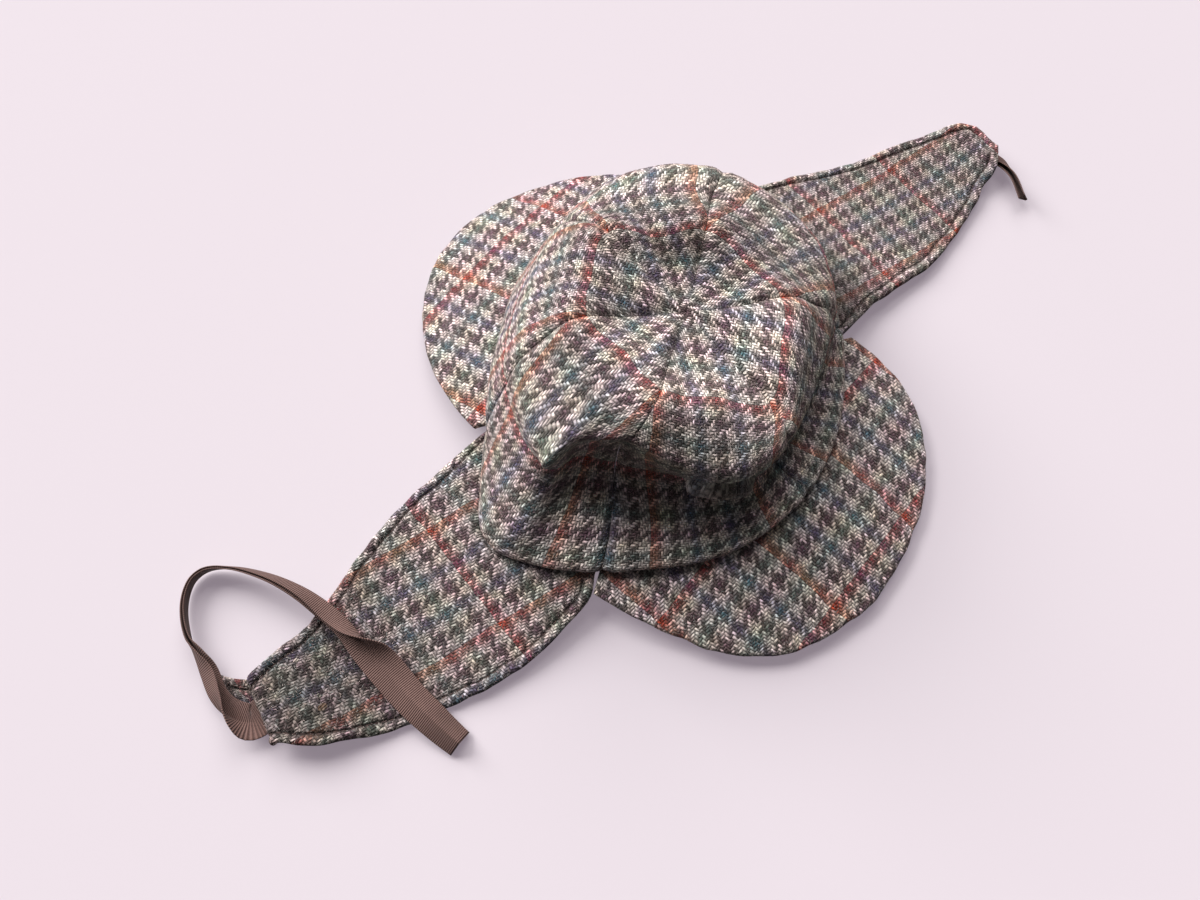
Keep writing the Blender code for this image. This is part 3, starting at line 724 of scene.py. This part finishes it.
# small waves, but none at the centre or at the head line
wavy = (ease(4, 30, cloth) * (1 - ease(128, 143, cloth)))[:, None]
waves = noiseField(crownBase, 16.0, 1) + 0.6 * noiseField(crownBase, 8.0, 2)
lift += shape["undulation"] * wavy * waves
crownOuter = crownBase + crownNormal * lift[..., None]
# the lining follows the grooves, but not the raised folds
crownInner = crownBase + crownNormal * (np.minimum(lift, 0.4)[..., None] - shape["cloth"])
for k, (name, node) in enumerate(crownPanels):
    pick = np.arange(k * perPanel, (k + 1) * perPanel + 1) % len(turns)
    top, bottom = crownOuter[:, pick].copy(), crownInner[:, pick].copy()
    for grid in (top, bottom):
        for end, inside in ((0, 1), (-1, -2)):
            grid[:, end] += unit(grid[:, inside] - grid[:, end]) * shape["seamGap"]
    panelShare = np.linspace(-1, 1, perPanel + 1)[None, :]
    uv = np.stack([halfWidth * panelShare - shape["orangeAt"],
                   cloth[:, None] - shape["redAt"] + 0 * panelShare], -1)
    # painted light: the dented top and a band round the waist are painted paler
    paintedPale = -0.28 + 0.3 * ease(30, 62, cloth) - 0.14 * ease(62, 80, cloth) * (1 - ease(105, 125, cloth))
    paintedShade = paintedPale[:, None] + 0 * turns[pick]
    # painted shade and painted light at the listed places
    for place in paintedShadeRows:
        paintedShade += place["strength"] * spot(place, turns[pick], cloth)
    piece = clothMesh(name, top, bottom, uv, tweed, paintedShade=paintedShade)
    addFuzz(name + "Fuzz", top[8:], k + 1)  # not at the very centre, where the rows crowd
    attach(piece, "root")
    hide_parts(node)
print("crown made:", len(crownPanels), "gores")


# small uneven pulls along the stitched edges, mm in plan
def pucker(points):
    return np.stack([0.9 * noiseField(points, 9.0, 11), 0.9 * noiseField(points, 9.0, 12)], -1)


# half thickness at a distance from the free edge: rounded edge, soft hem just inside it, stitched groove
def halfCloth(distance, cloth, rim, bulge=0.0, groove=0.0, grooveAt=5.0):
    base = cloth / 2 + bulge * np.exp(-((distance - 2.4) / 1.4) ** 2)
    base = base - groove * np.exp(-((distance - grooveAt) / 0.75) ** 2)
    inside = 1 - np.minimum(distance / rim, 1)
    return base * np.sqrt(np.maximum(1 - inside * inside, 0))


# places on the cloth of a piece seen from above: directions of its threads and where coloured lines run
def planUv(points, grain):
    a, b = math.radians(grain["across"]), math.radians(grain["along"])
    u = points[..., 0] * math.cos(a) + points[..., 1] * math.sin(a) - grain["orangeAt"]
    v = points[..., 0] * math.cos(b) + points[..., 1] * math.sin(b) - grain["redAt"]
    return np.stack([u * grain.get("hand", 1.0), v], -1) * grain.get("scale", 1.0)


# peaks and flaps lie under the crown wall: mm that they reach inside the head line and level outside it
tuckedIn, levelOut = 2.2, 1.2

# peaks
peakShape = {
    "cloth": 3.4,  # mm, two layers of tweed over a stiffener
    "rim": 1.7,  # mm, how far in the edge is rounded
    "bulge": 0.12,  # mm, thicker hem
    "edge": (0, 0.12, 0.4, 0.8, 1.3, 1.8, 2.5, 3.4, 4.4, 5.5, 6.8, 8.2),  # mm in from the edge
    "edgeFrom": 24,  # mm of peak that this edge needs, or it is squeezed
    "depth": 22,  # rows from there to the head line
    "ends": (0, 0.0015, 0.004, 0.008, 0.013),  # close columns at both ends, as shares of the length
    "steps": 150,  # columns between them
    "arch": 1.6,  # mm, bow of the stiff cloth where the peak is archFrom mm or more deep
    "archFrom": 40,
    "endRadius": 95,  # mm from the middle of the hat to both ends
}
peakColumns = ("turn", "reach", "height")
frontPeakRows = readRows(peakColumns, (
    (-149, 97, 9.8),
    (-143, 100.5, 9.2),
    (-136, 105.5, 8.3),
    (-127, 113, 6.5),
    (-118, 123.5, 5.6),
    (-108, 131.5, 4.7),
    (-98, 135, 4.3),
    (-88, 137, 4.1),
    (-77, 135.5, 4.1),
    (-66, 134, 4.3),
    (-56, 131, 4.8),
    (-46, 126, 5.6),
    (-36, 116, 6.8),
    (-25, 102, 9.5),
))
backPeakRows = readRows(peakColumns, (
    (28, 106, 9.5),
    (40, 119, 6.8),
    (52, 127, 4.2),
    (63, 131, 2.6),
    (77, 134, 1.8),
    (90, 135, 1.7),
    (102, 130.5, 2.0),
    (114, 120.5, 3.4),
    (125, 109, 5.6),
    (136, 96, 8.2),
    (148, 83.5, 11.0),
))


def makePeak(name, node, rows, grain, seed):
    shape = peakShape
    knots = column(rows, "turn")
    ends = np.array(shape["ends"])
    inset = np.concatenate([ends, np.linspace(0.02, 0.98, shape["steps"]), 1 - ends[::-1]])
    turnAt = knots[0] + (knots[-1] - knots[0]) * inset
    reach = smoothAlong(knots, column(rows, "reach"), turnAt)
    height = smoothAlong(knots, column(rows, "height"), turnAt)
    end = polar(reach, turnAt, height)
    start = ringPoints(turnAt, -levelOut, -shape["cloth"] / 2)
    length = np.linalg.norm(end - start, axis=-1)
    scale = np.minimum(1, length / shape["edgeFrom"])
    shares = [1 - e * scale / length for e in shape["edge"]]
    last = shares[-1]
    shares += [last * (1 - s) for s in np.linspace(0, 1, shape["depth"])[1:]]
    lines = []
    for share in shares:
        line = start + (end - start) * share[:, None]
        line[:, 2] += shape["arch"] * np.sin(math.pi * share) * np.minimum(1, length / shape["archFrom"])
        lines.append(line)
    lines.append(ringPoints(turnAt, tuckedIn, -shape["cloth"] / 2))
    middle = np.array(lines)
    uv = planUv(middle, grain)
    # the uneven edge and the ripples fade out towards the crown
    middle[..., :2] += pucker(middle) * ease(96, 110, np.hypot(middle[..., 0], middle[..., 1]))[..., None]
    ripple = 0.35 * noiseField(middle, 22.0, 5)
    middle[..., 2] += ripple * ease(94, 108, np.hypot(middle[..., 0], middle[..., 1]))
    normal = -gridNormals(middle)
    distance = np.array([(1 - share) * length for share in shares] + [length + tuckedIn])
    fromEnd = np.radians(np.minimum(turnAt - knots[0], knots[-1] - turnAt)) * shape["endRadius"]
    distance = np.minimum(distance, fromEnd[None, :])
    half = halfCloth(distance, shape["cloth"], shape["rim"], shape["bulge"])
    top, bottom = middle + normal * half[..., None], middle - normal * half[..., None]
    # painted light: the peaks are painted a little paler all over
    piece = clothMesh(name, top[::-1], bottom[::-1], uv[::-1], tweed,
                      ("lastRow", "firstColumn", "lastColumn"), paintedShade=-0.06)
    addFuzz(name + "Fuzz", top[::-1], seed)
    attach(piece, "root")
    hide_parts(node)


makePeak("frontPeak", "peak_front", frontPeakRows, seed=7,
         grain={"across": 7, "along": -83, "orangeAt": -23.7, "redAt": 125})
makePeak("backPeak", "peak_back", backPeakRows, seed=8,
         grain={"across": 14, "along": -85, "orangeAt": 5.5, "redAt": -107.6})
print("peaks made")

# ear flaps
flapShape = {
    "cloth": 3.0,  # mm, two layers of tweed
    "rim": 1.6,  # mm, how far in the edge is rounded
    "step": 1.5,  # mm from row to row
    "edge": (0, 0.12, 0.4, 0.8, 1.3, 1.8, 2.5, 3.2, 3.9, 4.4, 4.8, 5.2, 5.6, 6.2, 7.2),
    "edgeFrom": 20,  # mm of flap that this edge needs, or it is squeezed
    "inner": 34,  # columns between the two edges
    "bulge": 0.3,  # mm, thicker hem
    "groove": 0.85,
    "grooveAt": 4.8,  # topstitching this far inside the edge
    "sewnFrom": 6,  # rows from the head line to the first stitch
}
# lines from the back edge to the front edge, from the head line out; bow bends a line along X
flapColumns = ("backX", "backY", "frontX", "frontY", "height", "bow")
rightFlapRows = readRows(flapColumns, (
    (-84, 40.5, -85.6, -50.4, 9.0, -21),
    (-100, 41, -101, -52, 6.6, -11),
    (-119, 41, -120, -52.5, 4.8, -3),
    (-133, 39, -134, -50.5, 3.8, 0),
    (-147, 36.5, -147, -47.5, 2.9, 0),
    (-159, 33, -160, -43.5, 2.0, 0),
    (-171, 29.5, -175, -38, 1.6, 0),
    (-185, 27, -192, -30.5, 3.6, 0),
    (-201, 25.5, -210, -19.5, 8.2, 0),
    (-214.5, 25.0, -223.5, -6.0, 10.0, 0),
    (-216.1, 24.6, -225.1, -5.6, 8.4, 0),
    (-214.5, 24.2, -223.0, -5.2, 6.8, 0),
    (-206, 22, -212, -7.0, 6.7, 0),
    (-197, 19, -201, -9.0, 6.7, 0),
    (-194.6, 18.4, -198.4, -9.4, 4.2, 0),
    (-197, 18, -201, -9.0, 1.7, 0),
    (-209, 20, -213, -5.0, 1.7, 0),
    (-218, 26, -224, 8.0, 1.7, 0),
    (-226, 36, -231, 26, 1.7, 0),
))
leftFlapRows = readRows(flapColumns, (
    (113, 50, 112, -38, 7.0, 5),
    (131, 45, 132, -39.5, 5.2, 2),
    (150, 36, 153, -42, 3.9, 0),
    (170, 26, 173, -40, 2.9, 0),
    (196, 17, 196, -35, 3.2, 0),
    (216.5, 8.5, 211, -30, 5.0, 0),
    (226.5, 3.0, 221, -27.5, 8.2, 0),
    (231, -5, 230, -21, 9.0, 0),
))


# from line flatUntil on the cloth rises or turns over, and its check is measured along it;
# its painted shade is how dark the cloth is painted near the head and at its tip, and how much darker at
# its root
def makeFlap(name, node, rows, firstTurn, lastTurn, flatUntil, flapShade, seed, grain):
    shape = flapShape
    share = np.linspace(0, 1, 41)
    ringTurns = firstTurn + (lastTurn - firstTurn) * share
    lines = [ringPoints(ringTurns, inward, -shape["cloth"] / 2) for inward in (tuckedIn, -levelOut)]
    sides = ("back", "front") if abs(firstTurn) > 90 else ("front", "back")
    for row in rows:
        first, last = (np.array((row[side + "X"], row[side + "Y"], row["height"])) for side in sides)
        line = first + (last - first) * share[:, None]
        line[:, 0] += row["bow"] * np.sin(math.pi * share)
        lines.append(line)
    lines = np.array(lines)
    knots = runLength(lines[:, len(share) // 2])
    edge = np.array(shape["edge"])
    stations = np.concatenate([np.linspace(0, knots[-1] - edge[-1] - 1, round(knots[-1] / shape["step"])),
                               knots[-1] - edge[::-1]])
    # points from edge to edge, close together near both edges
    coarse = smoothAlong(knots, lines, stations)
    width = np.linalg.norm(np.diff(coarse, axis=1), axis=-1).sum(1)
    middle = np.empty((len(stations), len(edge) * 2 + shape["inner"], 3))
    distance = np.empty(middle.shape[:2])
    for i, (line, span) in enumerate(zip(coarse, width)):
        near = edge * min(1, span / shape["edgeFrom"]) / span
        inner = np.linspace(near[-1], 1 - near[-1], shape["inner"] + 2)[1:-1]
        places = np.concatenate([near, inner, 1 - near[::-1]])
        middle[i] = np.stack([np.interp(places, share, line[:, c]) for c in range(3)], -1)
        distance[i] = np.minimum(places, 1 - places) * span
    distance = np.minimum(distance, (knots[-1] - stations)[:, None])
    planX = middle[..., 0].copy()
    turnedAt = np.searchsorted(stations, knots[flatUntil])
    outward = math.copysign(1, rows[0]["backX"])
    planX[turnedAt:] = planX[turnedAt] + outward * (stations[turnedAt:] - stations[turnedAt])[:, None]
    uv = planUv(np.stack([planX, middle[..., 1]], -1), grain)
    middle[..., :2] += pucker(middle) * ease(8, 20, stations)[:, None, None]
    wavy = ease(10, 30, stations) * (1 - ease(80, 100, stations))
    middle[..., 2] += np.maximum(0.4 * noiseField(middle, 20.0, 8) * wavy[:, None], -0.1)
    normal = gridNormals(middle)
    half = halfCloth(distance, shape["cloth"], shape["rim"], shape["bulge"], shape["groove"],
                     shape["grooveAt"])
    top, bottom = middle + normal * half[..., None], middle - normal * half[..., None]
    fromHead = np.abs(middle[..., 0])
    # painted shade: darker towards the tip, and darker at the root in the crown's shadow
    paintedShade = flapShade["near"] + (flapShade["tip"] - flapShade["near"]) * ease(110, 205, fromHead)
    paintedShade += flapShade["root"] * (1 - ease(106, 138, fromHead))
    # painted shade in the stitched groove, and paler along the edge
    paintedShade += 0.3 * np.exp(-((distance - shape["grooveAt"]) / 0.8) ** 2)
    paintedShade -= 0.25 * (1 - ease(2.2, 4.2, distance))
    piece = clothMesh(name, top, bottom, uv, tweed, ("lastRow", "firstColumn", "lastColumn"), paintedShade)
    addFuzz(name + "Fuzz", top, seed)
    near = shape["edge"].index(shape["grooveAt"])
    far = -1 - near
    addStitches(name + "Stitches", np.concatenate([
        top[shape["sewnFrom"]:far, near], top[far, near:far], top[far:shape["sewnFrom"]:-1, far]]))
    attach(piece, "root")
    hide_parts(node)


makeFlap("rightEarFlap", "ear_flap_right", rightFlapRows, firstTurn=150, lastTurn=210, flatUntil=11,
         flapShade={"near": 0.27, "tip": 0.68, "root": 0.0}, seed=9,
         grain={"across": 78, "along": -4, "orangeAt": -3.5, "redAt": -117.5, "hand": -1})
makeFlap("leftEarFlap", "ear_flap_left", leftFlapRows, firstTurn=-24, lastTurn=27, flatUntil=9,
         flapShade={"near": 0.17, "tip": 0.33, "root": 0.5}, seed=10,
         grain={"across": 80.5, "along": -3.5, "orangeAt": 38.3, "redAt": 135, "scale": 1.15, "hand": -1})
print("ear flaps made")

# ribbons
ribbonShape = {
    "width": 16.0,  # mm
    "cloth": 0.6,
    "rim": 0.25,
    "crease": 0.36,  # mm, radius of the lengthwise fold
    "step": 1.2,  # mm from row to row
    "across": (0.25, 0.5, 0.8, 1.3, 2.2, 3.5, 5, 6.5, 7.6, 7.9, 8),  # mm from the fold to the edge
}
# where the fold runs, which way it leans and how far its halves open, in degrees
ribbonColumns = ("x", "y", "z", "lean", "open")
rightRibbonRows = readRows(ribbonColumns, (
    (-206, 9, 4.15, 90, 90),
    (-216, 9, 4.15, 90, 90),
    (-227, 9.5, 4.15, 94, 86),
    (-231, 14, 4.2, 118, 58),
    (-234.2, 21.5, 4.2, 144, 31),
    (-234.5, 30, 4.2, 158, 17),
    (-232, 40, 3.6, 160, 13),
    (-229.5, 48, 2.6, 125, 8),
    (-226.5, 57, 1.6, 97, 4),
    (-219.5, 70, 1.4, 93, 2),
    (-210.5, 77.5, 1.4, 95, 1),
    (-202, 77.5, 1.6, 97, 1),
    (-193, 70.5, 2.8, 103, 1),
    (-185.5, 60.5, 4.6, 111, 2),
    (-179, 49, 6.2, 122, 4),
    (-173.8, 36, 7.2, 140, 7),
    (-170.5, 22, 7.8, 168, 11),
    (-169.8, 11, 7.8, 158, 26),
    (-170.7, 2, 7.4, 132, 54),
    (-171.2, -7, 7.2, 106, 84),
    (-171.4, -18, 7.4, 94, 102),
    (-171.2, -30, 7.8, 90, 110),
    (-170.2, -41, 8.0, 90, 116),
    (-169.2, -50, 7.2, 90, 124),
    (-168, -58, 6.6, 90, 131),
))
leftRibbonRows = readRows(ribbonColumns, (
    (231, -9, 1.9, 180, 5),
    (231, -16, 2.0, 175, 5),
    (231, -22, 2.2, 174, 5),
    (231, -27, 2.4, 162, 6),
    (228.8, -32.5, 2.6, 138, 7),
    (225.6, -39.5, 2.6, 124, 8),
    (220.8, -50.3, 2.4, 132, 9),
))


def makeRibbon(name, node, rows):
    shape = ribbonShape
    places = np.stack([column(rows, c) for c in "xyz"], -1)
    knots = runLength(places)
    stations = np.linspace(0, knots[-1], round(knots[-1] / shape["step"]) + 1)
    centre = smoothAlong(knots, places, stations)
    length = runLength(centre)
    tangent = unit(np.gradient(centre, axis=0))
    side = unit(np.cross((0, 0, 1), tangent))
    over = np.cross(tangent, side)
    lean, opening = (np.radians(smoothAlong(knots, column(rows, angle), stations))[:, None]
                     for angle in ("lean", "open"))
    out = side * np.cos(lean) + over * np.sin(lean)
    away = np.cross(tangent, out)
    wing = np.array(shape["across"])
    across = np.concatenate([-wing[::-1], [0], wing])
    reach = np.abs(across)[None, :]
    # each half leaves the fold round its crease, then runs straight: u away from the fold, v to its side
    bend = np.maximum(shape["crease"] * (math.pi / 2 - opening), 0)
    turned = np.minimum(reach, bend) / shape["crease"]
    straight = np.maximum(reach - bend, 0)
    u = shape["crease"] * (1 - np.cos(turned)) + straight * np.cos(opening)
    v = np.sign(across)[None, :] * (shape["crease"] * np.sin(turned) + straight * np.sin(opening))
    middle = centre[:, None] + out[:, None] * u[..., None] + away[:, None] * v[..., None]
    normal = gridNormals(middle)
    thick = halfCloth(shape["width"] / 2 - reach, shape["cloth"], shape["rim"]) + 0 * opening
    top, bottom = middle + normal * thick[..., None], middle - normal * thick[..., None]
    uv = np.stack(np.meshgrid(length, across, indexing="ij"), -1)
    piece = clothMesh(name, top, bottom, uv, grosgrain, ("firstColumn", "lastColumn"))
    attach(piece, "root")
    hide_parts(node)
    print(name, "is", round(float(length[-1])), "mm long")


makeRibbon("rightRibbon", "ribbon_right", rightRibbonRows)
makeRibbon("leftRibbon", "ribbon_left", leftRibbonRows)
print("ribbons made")

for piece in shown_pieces():
    low = min(v.co.z for v in piece.data.vertices)
    if low < 0:
        print(piece.name, "reaches", round(low / mm, 2), "mm below the floor")
